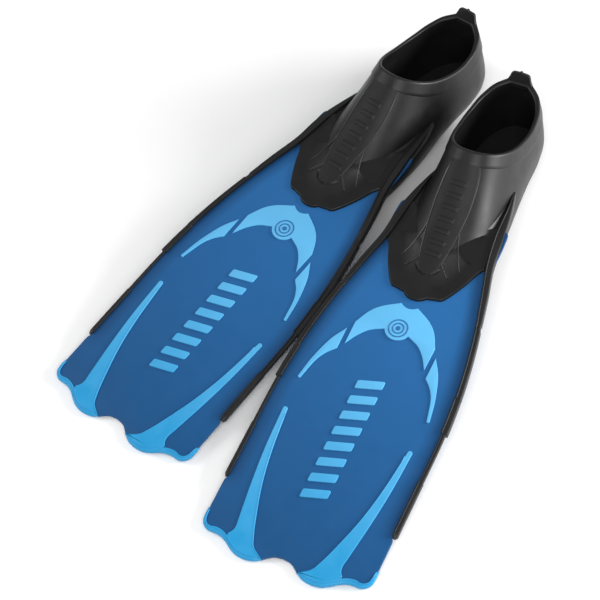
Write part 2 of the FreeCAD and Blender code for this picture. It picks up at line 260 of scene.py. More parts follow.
def rounded(corners, size, steps=6):
    """Outline through the corners, each one rounded off."""
    corners = [np.array(corner, float) for corner in corners]
    outline = []
    for k, here in enumerate(corners):
        before = corners[k - 1] - here
        after = corners[(k + 1) % len(corners)] - here
        start = here + before / np.linalg.norm(before) * size
        end = here + after / np.linalg.norm(after) * size
        for t in np.linspace(0, 1, steps):
            outline.append(tuple((1 - t) ** 2 * start + 2 * t * (1 - t) * here + t * t * end))
    return outline


def full_turn(count):
    """Angles of count even steps round a circle."""
    return np.linspace(0, 2 * math.pi, count, endpoint=False)


def thinned(k, count, at_start, at_end):
    """Share of its full size that ring k of a roll has; each end is (share, steps to full size)."""
    from_start = at_start[0] + k / at_start[1]
    from_end = at_end[0] + (count - 1 - k) / at_end[1]
    return min(1.0, from_start, from_end)


def area(outline):
    """Area inside the outline, negative where it runs clockwise."""
    return sum(a[0] * b[1] - b[0] * a[1] for a, b in zip(outline, outline[1:] + outline[:1])) / 2


def moved_in(outline, distance):
    """A counter-clockwise outline moved inwards."""
    pts = np.array(outline)
    before = pts - np.roll(pts, 1, 0)
    after = np.roll(pts, -1, 0) - pts
    before /= np.linalg.norm(before, axis=1)[:, None]
    after /= np.linalg.norm(after, axis=1)[:, None]
    normal = np.stack([-(before + after)[:, 1], (before + after)[:, 0]], 1)
    length = np.linalg.norm(normal, axis=1)
    normal /= length[:, None]
    stretch = np.clip(2 / length, 1, MITRE_LIMIT)
    return [tuple(p) for p in pts + normal * (distance * stretch)[:, None]]


def slab(outline, z0, z1, round_top, round_low=0.0, steps=4, flat_rim=0.0):
    """Plate with rounded edges over an outline; flat_rim adds a ring inside the rounded edge."""
    if area(outline) < 0:
        outline = outline[::-1]
    rings = []
    if round_low:
        for i in range(steps):
            angle = math.pi / 2 * i / steps
            ring = moved_in(outline, round_low * (1 - math.sin(angle)))
            rings.append([(x, y, z0 + round_low * (1 - math.cos(angle))) for x, y in ring])
    rings.append([(x, y, z0 + round_low) for x, y in outline])
    for i in range(steps + 1):
        angle = math.pi / 2 * i / steps
        ring = moved_in(outline, round_top * (1 - math.cos(angle)))
        rings.append([(x, y, z1 - round_top * (1 - math.sin(angle))) for x, y in ring])
    if flat_rim:
        rings.append([(x, y, z1) for x, y in moved_in(outline, round_top + flat_rim)])
    return tube(rings)


# ---- blade ----------------------------------------------------------------------------------
# where pieces are cut across y: start, end, step
SMOOTH_BEND = [(HINGE_Y - BLEND_REACH, HINGE_Y + BLEND_REACH + 1, 2.5)]
BLADE_CUTS = [(60, 440, 20)] + SMOOTH_BEND
# right half of the blade, from the notch in the tip to the notch round the foot
TIP_NOTCH = [(0.0, 15.0), (9.0, 13.5), (15.0, 9.8), (19.5, 6.0)]
TIP_EDGE = [(19.5, 6.0), (27.5, 1.6), (38.0, 0.0), (47.5, 1.4), (55.0, 5.0), (62.5, 10.2), (70.0, 13.8),
            (77.5, 15.0), (85.0, 15.0), (91.0, 18.3), (94.6, 24.5), (95.5, 38.0)]
BEAD_LINE = [(19.5, 6.0), (27.5, 6.8), (38.0, 5.6), (47.5, 6.8), (55.0, 10.6), (62.5, 16.0), (70.0, 19.6),
             (77.5, 20.8), (84.0, 19.8), (89.0, 21.8), (91.8, 27.0), (92.8, 38.0)]
BLADE_CORNER = [(BLADE_SIDE, 40.0), (BLADE_SIDE, RAIL_END_Y - 5),
                (BLADE_SIDE - 0.7, RAIL_END_Y - 2), (rail_line(RAIL_END_Y), RAIL_END_Y)]
BLADE_ROUND = 0.7
UNDER_RAIL = 0.5            # how far the blade's edge lies under the rail
SIDE_STEP = 6.0             # between points on that edge
SIDE_END_Y = 390.0
ARM = [(62.0, 397.0), (63.6, 406.0), (63.4, 430.0), (60.6, 444.0), (47.0, 440.0)]
FOOT_NOTCH = [(0.0, 372.0), (26.0, 376.0), (38.0, 392.0), (42.0, 415.0), (43.5, 434.0)]


def blade():
    """Whole blade plate, from the tip to the two arms beside the foot."""
    under_bead = (np.array(TIP_EDGE) + np.array(BEAD_LINE)) / 2
    right = chain(curve(TIP_NOTCH, 6), curve([tuple(p) for p in under_bead[:-1]], 6))
    right += BLADE_CORNER
    side = np.arange(RAIL_END_Y + SIDE_STEP, SIDE_END_Y, SIDE_STEP)
    right += [(rail_line(y) + UNDER_RAIL, y) for y in side]
    right += curve(ARM, 6)
    right += curve(FOOT_NOTCH, 8)[::-1]
    plate = slab(both_halves(right), -HALF_PLATE, HALF_PLATE, BLADE_ROUND, BLADE_ROUND)
    return sliced(plate, BLADE_CUTS)


INLAY_TOP = HALF_PLATE + 1.5
SINK = 0.4                  # inlays start this far inside the blade, as bonded ones do
BEAD_HALF = HALF_PLATE + 1.2
BEAD_THIN = 0.4             # least half width of the bead
BEAD_ENDS = (0.35, 10), (0.3, 5)
# section of the bead, as shares of its half width and half height
BEAD_PROFILE = [(-1.0, -0.35), (-1.0, 0.2), (-0.9, 0.6), (-0.65, 0.85), (-0.2, 0.95), (0.25, 0.95),
                (0.5, 1.18), (0.75, 1.24), (0.95, 1.1), (1.0, 0.6), (1.0, -0.5), (0.8, -0.9),
                (0.0, -1.0), (-0.8, -0.8)]


def tip_bead():
    """Rolled bead along one side of the tip, with a finer roll along its inner edge."""
    outer = np.array(curve(TIP_EDGE, 8))
    inner = np.array(curve(BEAD_LINE, 8))
    rings = []
    for k, (far, near) in enumerate(zip(outer, inner)):
        width = np.linalg.norm(near - far)
        half = max(width / 2, BEAD_THIN)
        way = (near - far) / width if k else np.array([0.0, 1.0])
        middle = (near + far) / 2
        tall = BEAD_HALF * thinned(k, len(outer), *BEAD_ENDS)
        rings.append([(*(middle + way * half * across), tall * rise) for across, rise in BEAD_PROFILE])
    return tube(rings)


FLARE_INNER = [(21.0, 7.0), (27.0, 10.8), (32.5, 15.3), (36.0, 22.0), (42.8, 40.0), (54.8, 80.0),
               (62.5, 120.0), (68.0, 167.0)]
FLARE_TIP = (70.6, 170.0)
FLARE_OUTER = [(73.2, 167.0), (70.7, 120.0), (66.5, 80.0), (61.0, 40.0), (59.5, 30.0), (60.3, 24.0),
               (63.5, 19.5)]
FLARE_FOOT = [(63.5, 15.8), (55.0, 9.6), (47.5, 5.9), (38.0, 4.7), (27.5, 6.0), (21.0, 6.3)]
ROLL_R = 0.55
ROLL_INSET = 0.75           # from the flare's edge to the middle of the roll
ROLL_SINK = 0.15


def lip_and_flare():
    """Bead, and the flare that grows out of it, with a fine roll along the flare's inner edge."""
    outline = chain(curve(FLARE_INNER, 8), arc(FLARE_INNER[-1], FLARE_TIP, FLARE_OUTER[0], 8),
                    curve(FLARE_OUTER, 8), curve(FLARE_FOOT, 5))
    flare = slab(outline, HALF_PLATE - SINK, INLAY_TOP, 0.8, flat_rim=0.25)
    edge = moved_in(curve(FLARE_INNER, 8)[2:-1], -ROLL_INSET)
    roll_z = INLAY_TOP - ROLL_SINK
    roll = tube([[(x + ROLL_R * math.cos(a), y, roll_z + ROLL_R * math.sin(a)) for a in full_turn(8)]
                 for x, y in edge])
    return joined(tip_bead(), flare, roll)


EMBLEM_Y = 295.5
EMBLEM_R = 14.0
ARCH_TOP = (9.4, 325.0)
ARM_HIGH = (45.8, 287.0)
ARM_LOW = (45.2, 260.0)
SHOULDER = (EMBLEM_R - 0.5, EMBLEM_Y - 5.0)


def arch():
    """Arched inlay across the blade root, with a round belly under the badge."""
    right = chain(arc((0, 321.0), (5.0, 322.2), ARCH_TOP, 8),
                  curve([ARCH_TOP, (27.0, 314.5), (37.5, 303.5), ARM_HIGH]),
                  [ARM_LOW],
                  curve([ARM_LOW, (37.5, 273.0), (27.5, 283.5), SHOULDER]),
                  arc(SHOULDER, (9.5, EMBLEM_Y - 10.5), (0, EMBLEM_Y - EMBLEM_R), 10))
    return sliced(slab(both_halves(right), HALF_PLATE - SINK, INLAY_TOP, 0.5), SMOOTH_BEND)


BADGE_RINGS = ((9.4, 10.8), (5.2, 6.6))
BADGE_DOT_R = 2.6
BADGE_LOW = INLAY_TOP - 0.3
BADGE_TOP = INLAY_TOP + 0.5
BADGE_SOFT = 0.25           # softened edge of a ring


def ring_band(radius_in, radius_out, count=48):
    """Flat ring round the badge's centre, with softened edges."""
    side_z = BADGE_TOP - BADGE_SOFT
    profile = [(radius_in, BADGE_LOW), (radius_in, side_z), (radius_in + BADGE_SOFT, BADGE_TOP),
               (radius_out - BADGE_SOFT, BADGE_TOP), (radius_out, side_z), (radius_out, BADGE_LOW)]
    points = [(r * math.cos(angle), EMBLEM_Y + r * math.sin(angle), z)
              for angle in full_turn(count) for r, z in profile]
    faces = []
    size = len(profile)
    for i in range(count):
        j = (i + 1) % count
        for k in range(size):
            m = (k + 1) % size
            faces.append([i * size + k, j * size + k, j * size + m, i * size + m])
    return points, faces


def badge():
    """Plain generic mark: two rings round a dot."""
    rings = [ring_band(radius_in, radius_out) for radius_in, radius_out in BADGE_RINGS]
    dot = slab([(BADGE_DOT_R * math.cos(a), EMBLEM_Y + BADGE_DOT_R * math.sin(a)) for a in full_turn(24)],
               BADGE_LOW, BADGE_TOP, 0.3)
    return joined(*rings, dot)


TAIL_OUTER = [(51.0, 277.0), (61.5, 259.0), (70.0, 233.0), (74.6, 208.5)]
TAIL_INNER = [(71.4, 208.0), (66.0, 229.5), (59.5, 242.0), (50.7, 251.4)]
TAIL_POINT = (73.3, 205.5)


def tail():
    """Tapering inlay that carries the arch on towards the rail."""
    outer = curve(TAIL_OUTER)
    inner = curve(TAIL_INNER)
    point = arc(outer[-1], TAIL_POINT, inner[0], 6)
    return slab(chain(outer, point, inner), HALF_PLATE - SINK, INLAY_TOP, 0.6)


BAR_COUNT = 8
BAR_FIRST = 86.0
BAR_PITCH = 19.0
BAR_HALF = 14.0             # half length
BAR_SLANT = 4.0
BAR_DEPTH = 10.0
BAR_CORNER = 2.2


def accent_bars():
    """Eight slanted raised bars."""
    bars = []
    for i in range(BAR_COUNT):
        left = BAR_FIRST + i * BAR_PITCH - BAR_SLANT
        right = BAR_FIRST + i * BAR_PITCH + BAR_SLANT
        corners = [(-BAR_HALF, left), (BAR_HALF, right),
                   (BAR_HALF, right + BAR_DEPTH), (-BAR_HALF, left + BAR_DEPTH)]
        bars.append(slab(rounded(corners, BAR_CORNER), HALF_PLATE - SINK, INLAY_TOP, 0.6))
    return joined(*bars)


# ---- rails ----------------------------------------------------------------------------------
def smoothstep(low, high, value):
    """0 at low, 1 at high, with a smooth rise between them."""
    t = np.clip((value - low) / (high - low), 0.0, 1.0)
    return t * t * (3 - 2 * t)


def spline(stations, values, y):
    """Smooth values along y through a table of stations."""
    slopes = np.gradient(values, stations, axis=0)
    i = np.clip(np.searchsorted(stations, y) - 1, 0, len(stations) - 2)
    span = stations[i + 1] - stations[i]
    t = (y - stations[i]) / span
    return ((2 * t ** 3 - 3 * t ** 2 + 1) * values[i] + (t ** 3 - 2 * t ** 2 + t) * span * slopes[i]
            + (3 * t ** 2 - 2 * t ** 3) * values[i + 1] + (t ** 3 - t ** 2) * span * slopes[i + 1])


# y, inner face, outer face, bottom and top of the rail beside the foot, which ends in a pointed wing
WING = np.array([(329.0, 74.1, 80.1, -5.5, 5.5), (365.0, 64.9, 72.4, -5.5, 6.0),
                 (397.0, 56.5, 64.5, -5.5, 6.5), (425.0, 52.0, 61.5, -5.5, 6.8),
                 (440.0, 50.3, 59.4, -6.0, 5.8), (455.0, 49.0, 57.0, -8.5, 3.0),
                 (484.0, 46.6, 50.5, -14.5, -2.5), (500.0, 44.3, 46.0, -15.0, -6.5)])
WING_END = 500.0
# start of each stretch of the rail, distance inside the rail line, width, half height
STRETCHES = [(0.0, 1.0, 5.5, 4.0), (142.0, 0.0, 4.0, 3.5), (199.5, 1.0, 7.0, 5.0), (241.0, 0.0, 6.0, 5.5),
             (HINGE_Y - 5.0, 0.3, 5.6, 4.7)]
STEP_REACH = 0.8            # a step between two stretches is spread over this much either side
RAIL_THIN = 0.55            # share of its full size that the rail's lower end has
RAIL_THIN_REACH = 2.5


def rail_size(y):
    """Inner face, outer face, bottom and top of the rail at a station."""
    if y > HINGE_Y:
        return [float(spline(WING[:, 0], WING[:, k], y)) for k in (1, 2, 3, 4)]
    size = np.array(STRETCHES[0][1:])
    for start, *values in STRETCHES[1:]:
        size = size + (np.array(values) - size) * smoothstep(start - STEP_REACH, start + STEP_REACH, y)
    inset, width, half = size
    inner = rail_line(y) - inset
    return inner, inner + width, -half, half


def rail_profile(x0, x1, z0, z1):
    """Section of the rail as (x, z): rounded, with a low bead along its inner top edge."""
    wide, tall = x1 - x0, z1 - z0
    soft = min(1.6, wide * 0.3, tall * 0.2)
    drop = min(0.9, tall * 0.15)
    bead = min(1.9, wide * 0.35)
    inner = [(x0, z0 + soft), (x0, (z0 + z1) / 2), (x0, z1 - soft * 0.4)]
    top = [(x0 + bead * 0.25, z1), (x0 + bead * 0.7, z1), (x0 + bead, z1 - drop), (x1 - soft, z1 - drop)]
    outer = [(x1 - soft * 0.3, z1 - drop - soft * 0.3), (x1, z1 - drop - soft), (x1, z0 + soft)]
    bottom = [(x1 - soft * 0.3, z0 + soft * 0.3), (x1 - soft, z0), (x0 + soft, z0),
              (x0 + soft * 0.3, z0 + soft * 0.3)]
    return inner + top + outer + bottom


def rail():
    """Stepped rail in one piece, from its lower end to the tip of the wing."""
    stations = list(np.arange(RAIL_END_Y, WING_END, 3.0)) + [WING_END]
    for step, *_ in STRETCHES[1:]:
        stations += [step + k * STEP_REACH for k in (-2, -1, 0, 1, 2)]
    rings = []
    for y in sorted(stations):
        x0, x1, z0, z1 = rail_size(y)
        grown = math.sqrt(max(0.0, y - RAIL_END_Y) / RAIL_THIN_REACH)
        share = min(1.0, RAIL_THIN + (1 - RAIL_THIN) * grown)
        xm, zm = (x0 + x1) / 2, (z0 + z1) / 2
        x0, x1 = xm + (x0 - xm) * share, xm + (x1 - xm) * share
        z0, z1 = zm + (z0 - zm) * share, zm + (z1 - zm) * share
        rings.append([(px, y, pz) for px, pz in rail_profile(x0, x1, z0, z1)])
    return tube(rings)


# ---- form of the foot pocket ----------------------------------------------------------------
# y, half width, bottom and top of the pocket's outside
STATIONS = np.array([(347.0, 30.0, -26.0, 0.0), (360.0, 45.0, -34.0, 4.5),
                     (395.0, 55.0, -44.0, 14.5), (430.0, 57.0, -52.0, 26.0),
                     (470.0, 54.0, -61.0, 43.0), (500.0, 51.0, -67.0, 58.0),
                     (535.0, 48.0, -75.0, 76.0), (575.0, 45.0, -83.0, 80.0),
                     (600.0, 38.5, -87.0, 80.0), (616.0, 27.5, -88.0, 78.0),
                     (624.0, 16.0, -87.0, 74.0)])
FORM_START, FORM_END = 347.0, 624.0
SQUARENESS = 2.5            # 2 would make each section an ellipse
LEAN = 0.26                 # how much each section narrows upwards
SOLE_START = (345.0, -20.0)
SOLE_SLOPE = math.tan(math.radians(12.0))
RIM_DIP = (597.0, 8.0)      # y and z of the opening's lowest point
RIM_RATE = 0.0046
CUFF = 20.0                 # height of the cuff
WALL = 4.0
NO_SURFACE_Z = -60.0        # far below the apron and the instep


def rim_z(y):
    """Height of the opening's edge."""
    return RIM_DIP[1] + RIM_RATE * (y - RIM_DIP[0]) ** 2


def toe_to_heel(y):
    """Place along the form, from -1 at its toe to 1 at its heel."""
    return 2 * (y - FORM_START) / (FORM_END - FORM_START) - 1


def section(y, grow):
    """Half width, bottom and top of the form at y, grown by a distance."""
    y = np.clip(y - grow * toe_to_heel(y), FORM_START, FORM_END)
    half, low, high = [spline(STATIONS[:, 0], STATIONS[:, k], y) for k in (1, 2, 3)]
    return half + grow, low - grow, high + grow


def narrowed(half, rise):
    """Half width of the form at a relative height from -1 to 1."""
    bulge = np.clip(1 - np.abs(rise) ** SQUARENESS, 0, 1) ** (1 / SQUARENESS)
    return half * (1 - LEAN * (rise + 0.5)) * bulge


def form_width(y, z, grow):
    """Half width of the grown form at y and height z."""
    half, low, high = section(y, grow)
    return narrowed(half, np.clip((2 * z - low - high) / (high - low), -1, 1))


def form_top(x, y, halvings=24):
    """Height of the form's upper surface, far down where there is none."""
    half, low, high = section(y, 0.0)
    under, over = np.zeros_like(half), np.ones_like(half)
    for _ in range(halvings):
        rise = (under + over) / 2
        inside = narrowed(half, rise) > np.abs(x)
        under, over = np.where(inside, rise, under), np.where(inside, over, rise)
    top = (low + high) / 2 + (high - low) / 2 * under
    return np.where(narrowed(half, 0.0) > np.abs(x), top, NO_SURFACE_Z)


def form_skin(grow, rows=130, count=112):
    """Closed skin of the form, before the sole is flattened and the opening cut."""
    rings = []
    for y in np.linspace(FORM_START, FORM_END, rows):
        half, low, high = section(y, 0.0)
        half, low, high = half + grow, low - grow, high + grow
        moved = y + grow * toe_to_heel(y)
        angle = np.arange(count) * 2 * math.pi / count
        rise = np.sign(np.sin(angle)) * np.abs(np.sin(angle)) ** (2 / SQUARENESS)
        side = np.sign(np.cos(angle)) * np.abs(np.cos(angle)) ** (2 / SQUARENESS)
        x = half * (1 - LEAN * (rise + 0.5)) * side
        z = (low + high) / 2 + (high - low) / 2 * rise
        rings.append([(px, moved, pz) for px, pz in zip(x, z)])
    return tube(rings)


def shell(grow, sole_lift, rim_lift):
    """Skin of the form between a line above the sole and a line below the opening's edge."""
    bm = opened(form_skin(grow))
    edges = plane_cut(bm, (0, SOLE_START[0], SOLE_START[1] + sole_lift), (0, -SOLE_SLOPE, -1), drop=True)
    bmesh.ops.contextual_create(bm, geom=edges)
    for vert in bm.verts:
        vert.co.z -= rim_z(vert.co.y)
    plane_cut(bm, (0, 0, rim_lift), (0, 0, 1), drop=True)
    for vert in bm.verts:
        vert.co.z += rim_z(vert.co.y)
    return closed(bm)


ANKLE_Y = 560.0             # middle of the opening
ANKLE_REACH = 110.0         # further from it than any wall


def ankle_ring(grow, lift, count=180, halvings=26):
    """Line where the grown form meets the opening's edge, moved by lift."""
    angle = np.arange(count) * 2 * math.pi / count
    near, far = np.zeros(count), np.full(count, ANKLE_REACH)
    for _ in range(halvings):
        reach = (near + far) / 2
        x, y = reach * np.cos(angle), ANKLE_Y + reach * np.sin(angle)
        inside = (form_width(y, rim_z(y) + lift, grow) > np.abs(x)) & (y < FORM_END + grow)
        near, far = np.where(inside, reach, near), np.where(inside, far, reach)
    y = ANKLE_Y + near * np.sin(angle)
    return list(zip(near * np.cos(angle), y, rim_z(y) + lift))


CUFF_OUT = 1.3              # how far the cuff stands out from the wall
# soft step at the cuff's lower edge, as (outwards, upwards)
CUFF_STEP = [(-1.0, -0.4), (0.3, 0.0), (1.0, 0.6), (CUFF_OUT, 1.6)]
CUFF_SIDE = (-15.0, -11.0, -7.0, -4.0)
RIM_R = 2.6
RIM_POWER = 0.75            # 1 would make the rim's section a half circle
CUFF_INSIDE = (-5.0, -9.0, -14.0, -CUFF)


def cuff():
    """Band round the ankle with a soft step below and a rounded rim on top."""
    rings = [ankle_ring(out, rise - CUFF) for out, rise in CUFF_STEP]
    rings += [ankle_ring(CUFF_OUT, lift) for lift in CUFF_SIDE]
    middle = CUFF_OUT - RIM_R
    for turn in np.linspace(0, math.pi, 11):
        out = math.copysign(abs(math.cos(turn)) ** RIM_POWER, math.cos(turn))
        rings.append(ankle_ring(middle + RIM_R * out, -RIM_R + RIM_R * math.sin(turn) ** RIM_POWER))
    rings += [ankle_ring(middle - RIM_R, lift) for lift in CUFF_INSIDE]
    return tube(rings, closed_ends=False)


# ---- apron, instep panel and the lines on them ----------------------------------------------
APRON_TOP = HALF_PLATE + 3.0
APRON_OVER = 0.9            # how far the apron stands above the form
APRON_THIN = 1.3            # how much lower it is at its back edge
BACK_REACH = 12.0           # from that edge to the apron's full height
FLOW = 5.0                  # softness of the bend from the blade up to the form
APRON_ROUND = 1.6
RING_CENTRE = np.array((0.0, 360.0))
# right half of the apron's outline: lobe in front, side, edge beside the wing, edge on the instep
APRON_LOBE = [(0, 332.5), (8.0, 334.0), (13.0, 338.0)]
APRON_FRONT = [(13.0, 338.0), (22.0, 340.0), (31.0, 343.5), (44.0, 366.0), (51.5, 384.0), (57.2, 393.0)]
APRON_SIDE = [(57.2, 393.0), (56.2, 399.0), (52.9, 425.0), (51.2, 446.0)]
APRON_BACK = [(51.2, 446.0), (42.0, 440.0), (31.0, 419.0), (17.0, 404.0), (0.0, 399.0)]
# ends of the straight grooves, on the right half
GROOVES = [((13.6, 380.0), (24.5, 368.5)), ((13.2, 372.0), (9.6, 366.8)), ((9.6, 366.8), (3.5, 363.8)),
           ((3.5, 363.8), (0.0, 363.4))]
GROOVE_DEPTH = 1.1
GROOVE_HALF = 0.75


def apron_outline():
    """Lobed outline of the apron in plan."""
    return both_halves(chain(arc(*APRON_LOBE, 8), curve(APRON_FRONT), curve(APRON_SIDE), curve(APRON_BACK)))


def nearest(x, y, line):
    """Distance in plan from each point to a line of points."""
    line = np.array(line)
    return np.sqrt(np.min((x[..., None] - line[:, 0]) ** 2 + (y[..., None] - line[:, 1]) ** 2, axis=-1))


def segment_distance(x, y, a, b):
    """Distance in plan from each point to the straight line between a and b."""
    ax, ay = a
    dx, dy = b[0] - ax, b[1] - ay
    t = np.clip(((x - ax) * dx + (y - ay) * dy) / (dx * dx + dy * dy), 0, 1)
    return np.hypot(x - ax - t * dx, y - ay - t * dy)


def rounded_edge(distance, radius):
    """0 on an edge, rising as a quarter circle to 1 at the radius."""
    return np.sqrt(1 - (1 - np.clip(distance / radius, 0, 1)) ** 2)


def apron_height(x, y):
    """Blade-high in front, flowing up over the instep."""
    near_back = 1 - smoothstep(0.0, BACK_REACH, nearest(np.abs(x), y, curve(APRON_BACK)))
    over = form_top(x, y) + APRON_OVER - APRON_THIN * near_back
    share = np.clip(0.5 + (over - APRON_TOP) / (2 * FLOW), 0, 1)
    return APRON_TOP * (1 - share) + over * share + FLOW * share * (1 - share)


def apron():
    """Rubber skirt that grips the blade root, with lobed edge and fine grooves."""
    outline = np.array(apron_outline())
    # rings from the edge inwards, closer together where the edge is rounded
    steps = np.concatenate([[1.0, 0.995, 0.99, 0.98, 0.97], np.linspace(0.955, 0.02, 62)])
    plan = RING_CENTRE + steps[:, None, None] * (outline - RING_CENTRE)
    x, y = plan[..., 0], plan[..., 1]
    edge = nearest(x, y, outline)
    round_off = rounded_edge(edge, APRON_ROUND)
    base = np.maximum(form_top(x, y) - 0.6, HALF_PLATE - 0.2)
    z = base + (apron_height(x, y) - base) * round_off
    for a, b in GROOVES:
        for side in (1, -1):
            away = segment_distance(x * side, y, a, b)
            z -= GROOVE_DEPTH * np.exp(-(away / GROOVE_HALF) ** 2)
    rings = [list(zip(x[k], y[k], z[k])) for k in range(len(steps))]
    return tube(rings)


PANEL_NOSE_Y = 377.0        # centre of the panel's round nose
PANEL_NOSE = 12.5
PANEL_START = PANEL_NOSE_Y - PANEL_NOSE
PANEL_SIDES_Y = PANEL_NOSE_Y + 3.0
PANEL_END = 484.0
# y and half width of the panel behind its nose
PANEL_EDGE = np.array([(PANEL_NOSE_Y, PANEL_NOSE), (396.0, 15.5), (420.0, 18.5), (450.0, 20.0),
                       (472.0, 18.5), (PANEL_END, 16.5)])
PANEL_RISE = 1.5
PANEL_ROUND = 1.0
PANEL_SINK = 0.3
PANEL_THICK = 1.2


def panel_half(y):
    """Half width of the panel."""
    nose = np.sqrt(np.clip(PANEL_NOSE ** 2 - (PANEL_NOSE_Y - y) ** 2, 0, None))
    sides = spline(PANEL_EDGE[:, 0], PANEL_EDGE[:, 1], np.maximum(y, PANEL_NOSE_Y))
    return np.where(y < PANEL_NOSE_Y, nose, sides)


def instep_height(x, y):
    """Height of the surface that the panel and its lines lie on."""
    return np.maximum(form_top(x, y), apron_height(x, y) - APRON_OVER)


def panel():
    """Raised matt strip down the instep, with a round nose."""
    turn = np.linspace(0, math.pi / 2, 14)
    y = np.concatenate([PANEL_NOSE_Y - PANEL_NOSE * np.cos(turn), np.linspace(PANEL_SIDES_Y, PANEL_END, 60)])
    y[0] += 0.02                # keeps the first row from closing to one point
    across = np.sin(np.linspace(-math.pi / 2, math.pi / 2, 33))
    half = panel_half(y)
    x = half[:, None] * across
    yy = np.repeat(y[:, None], len(across), 1)
    from_nose = np.where(yy < PANEL_SIDES_Y, yy - PANEL_START, np.inf)
    edge = np.minimum(np.abs(half[:, None] - np.abs(x)), from_nose)
    z = instep_height(x, yy) + PANEL_RISE * rounded_edge(edge, PANEL_ROUND) - PANEL_SINK
    rows = [list(zip(x[k], yy[k], z[k])) for k in range(len(y))]
    under = [[(px, py, pz - PANEL_THICK) for px, py, pz in row[::-1]] for row in rows]
    return tube([top + low for top, low in zip(rows, under)])


RIB_COUNT = 7
RIB_FIRST = 384.0
RIB_PITCH = 12.5
RIB_HALF = 9.5              # half length
RIB_DEPTH = 5.0
RIB_BASE = 1.2              # the panel's height above the instep
RIB_RISE = 1.0
RIB_ROUND = 1.2
# section of a rib, as shares of its depth and height
RIB_SECTION = ((0.0, -0.6), (0.0, 0.5), (0.1, 0.85), (0.25, 1.0), (0.75, 1.0), (0.9, 0.85), (1.0, 0.5),
               (1.0, -0.6))


def instep_rib(y0):
    """Low bar lying across the panel, from y0 towards the heel."""
    x = np.linspace(-RIB_HALF, RIB_HALF, 15)
    end = rounded_edge(RIB_HALF - np.abs(x), RIB_ROUND)
    rings = []
    for along, lift in RIB_SECTION:
        y = np.full_like(x, y0 + RIB_DEPTH * along)
        rings.append(list(zip(x, y, instep_height(x, y) + RIB_BASE + lift * RIB_RISE * end)))
    return tube([station[::-1] for station in zip(*rings)])


def instep_ribs():
    """Generic raised ribs down the panel."""
    return joined(*[instep_rib(y) for y in RIB_FIRST + RIB_PITCH * np.arange(RIB_COUNT)])


LINE_ENDS = (0.25, 6), (0.25, 6)
FORK = [(18.5, 420.0), (21.0, 408.0), (27.0, 392.0), (33.5, 379.0)]


def draped_line(path, radius, lift):
    """Thin round line draped over the instep along a plan path."""
    path = np.array(path)
    z = instep_height(path[:, 0], path[:, 1]) + lift
    line = np.column_stack([path, z])
    run = np.gradient(line, axis=0)
    run /= np.linalg.norm(run, axis=1)[:, None]
    side = np.cross(run, (0, 0, 1))
    side /= np.linalg.norm(side, axis=1)[:, None]
    up = np.cross(side, run)
    rings = []
    for k, p in enumerate(line):
        size = radius * thinned(k, len(line), *LINE_ENDS)
        rings.append([tuple(p + size * (side[k] * math.cos(a) + up[k] * math.sin(a)))
                      for a in full_turn(8)])
    return tube(rings)


def edge_lines():
    """Fine line along each edge of the panel, with a fork that runs down the apron."""
    y = np.linspace(382.0, 481.0, 60)
    edge = list(zip(panel_half(y) + 0.2, y))
    right = joined(draped_line(edge, 0.6, 0.9), draped_line(curve(FORK), 0.5, 1.0))
    return joined(right, mirrored(right))


WEB_START, WEB_END = 424.0, 496.0
WEB_TOP = 3.2
WEB_FALL_Y = 440.0          # from here the web falls with the sole
WEB_FILLET = 4.0            # height of the fillet against the wall, and depth of the web
FILLET_RISES = (WEB_FILLET, 2.5, 1.4, 0.6, 0.1, 0.0)
WEB_SINK = 0.8              # how far it reaches into the wall


def side_web():
    """Rubber that fills the corner between the shoe and the wing beside it."""
    rings = []
    for y in np.linspace(WEB_START, WEB_END, 28):
        top = WEB_TOP - SOLE_SLOPE * max(0.0, y - WEB_FALL_Y)
        end = float(rail_size(y)[0]) + 1.0
        profile = []
        for rise in FILLET_RISES:
            wall = float(form_width(y, top + rise, 0.0)) - WEB_SINK
            x = min(wall + (WEB_FILLET - rise) * 0.5, end - 0.2 - rise * 0.05)
            profile.append((x, y, top + rise))
        low = top - WEB_FILLET
        rings.append(profile + [(end, y, top), (end, y, low), (profile[0][0] - 1.0, y, low)])
    return tube(rings)


# ---- heel tab -------------------------------------------------------------------------------
TAB_LEAN = math.radians(30.0)
TAB_HALF = 2.0              # half its thickness
TAB_ROUND = 1.0
# right half of the tab, as (x, distance up the tab): flare, shoulder, nub
TAB_FLARE = [(18.5, -2.5), (16.5, 0.5), (14.0, 4.5), (12.2, 8.5), (11.4, 11.0)]
TAB_SHOULDER = [(11.4, 11.0), (10.0, 13.8), (7.2, 14.9)]
TAB_NUB = [(1.7, 15.3), (1.2, 16.3), (0, 16.7)]


def tab():
    """Tongue that flares into the cuff, with a small nub on top."""
    right = chain(curve(TAB_FLARE, 6), arc(*TAB_SHOULDER, 6), arc(*TAB_NUB, 4))
    points, faces = slab(both_halves(right), -TAB_HALF, TAB_HALF, TAB_ROUND, TAB_ROUND)
    lean_y, lean_z = math.sin(TAB_LEAN), math.cos(TAB_LEAN)
    points = [(x, TAB_Y + up * lean_y - thick * lean_z, TAB_Z + up * lean_z + thick * lean_y)
              for x, up, thick in points]
    return points, faces


# ---- materials ------------------------------------------------------------------------------
NOISE_RANGE = (0.3, 0.7)    # most of a noise lies between these

BLADE_TIP_BLUE = (0.005, 0.060, 0.172)
BLADE_ROOT_BLUE = (0.016, 0.112, 0.305)
# painted shade: deeper blue for the band beside each rail, where the rail shades the blade
RAIL_SHADE_BLUE = (0.003, 0.026, 0.085)
BLADE_PALE_BLUE = (0.018, 0.12, 0.33)
BLADE_FADE = (0.0, 330.0)   # y over which the blade turns paler
RAIL_SHADE_WIDTH = 17.0            # width of the band of painted shade beside the rail
RAIL_SHADE_START = 12.0           # the painted shade fades in over this much either side of the rail's lower end
RAIL_SHADE_SHARE = 0.75

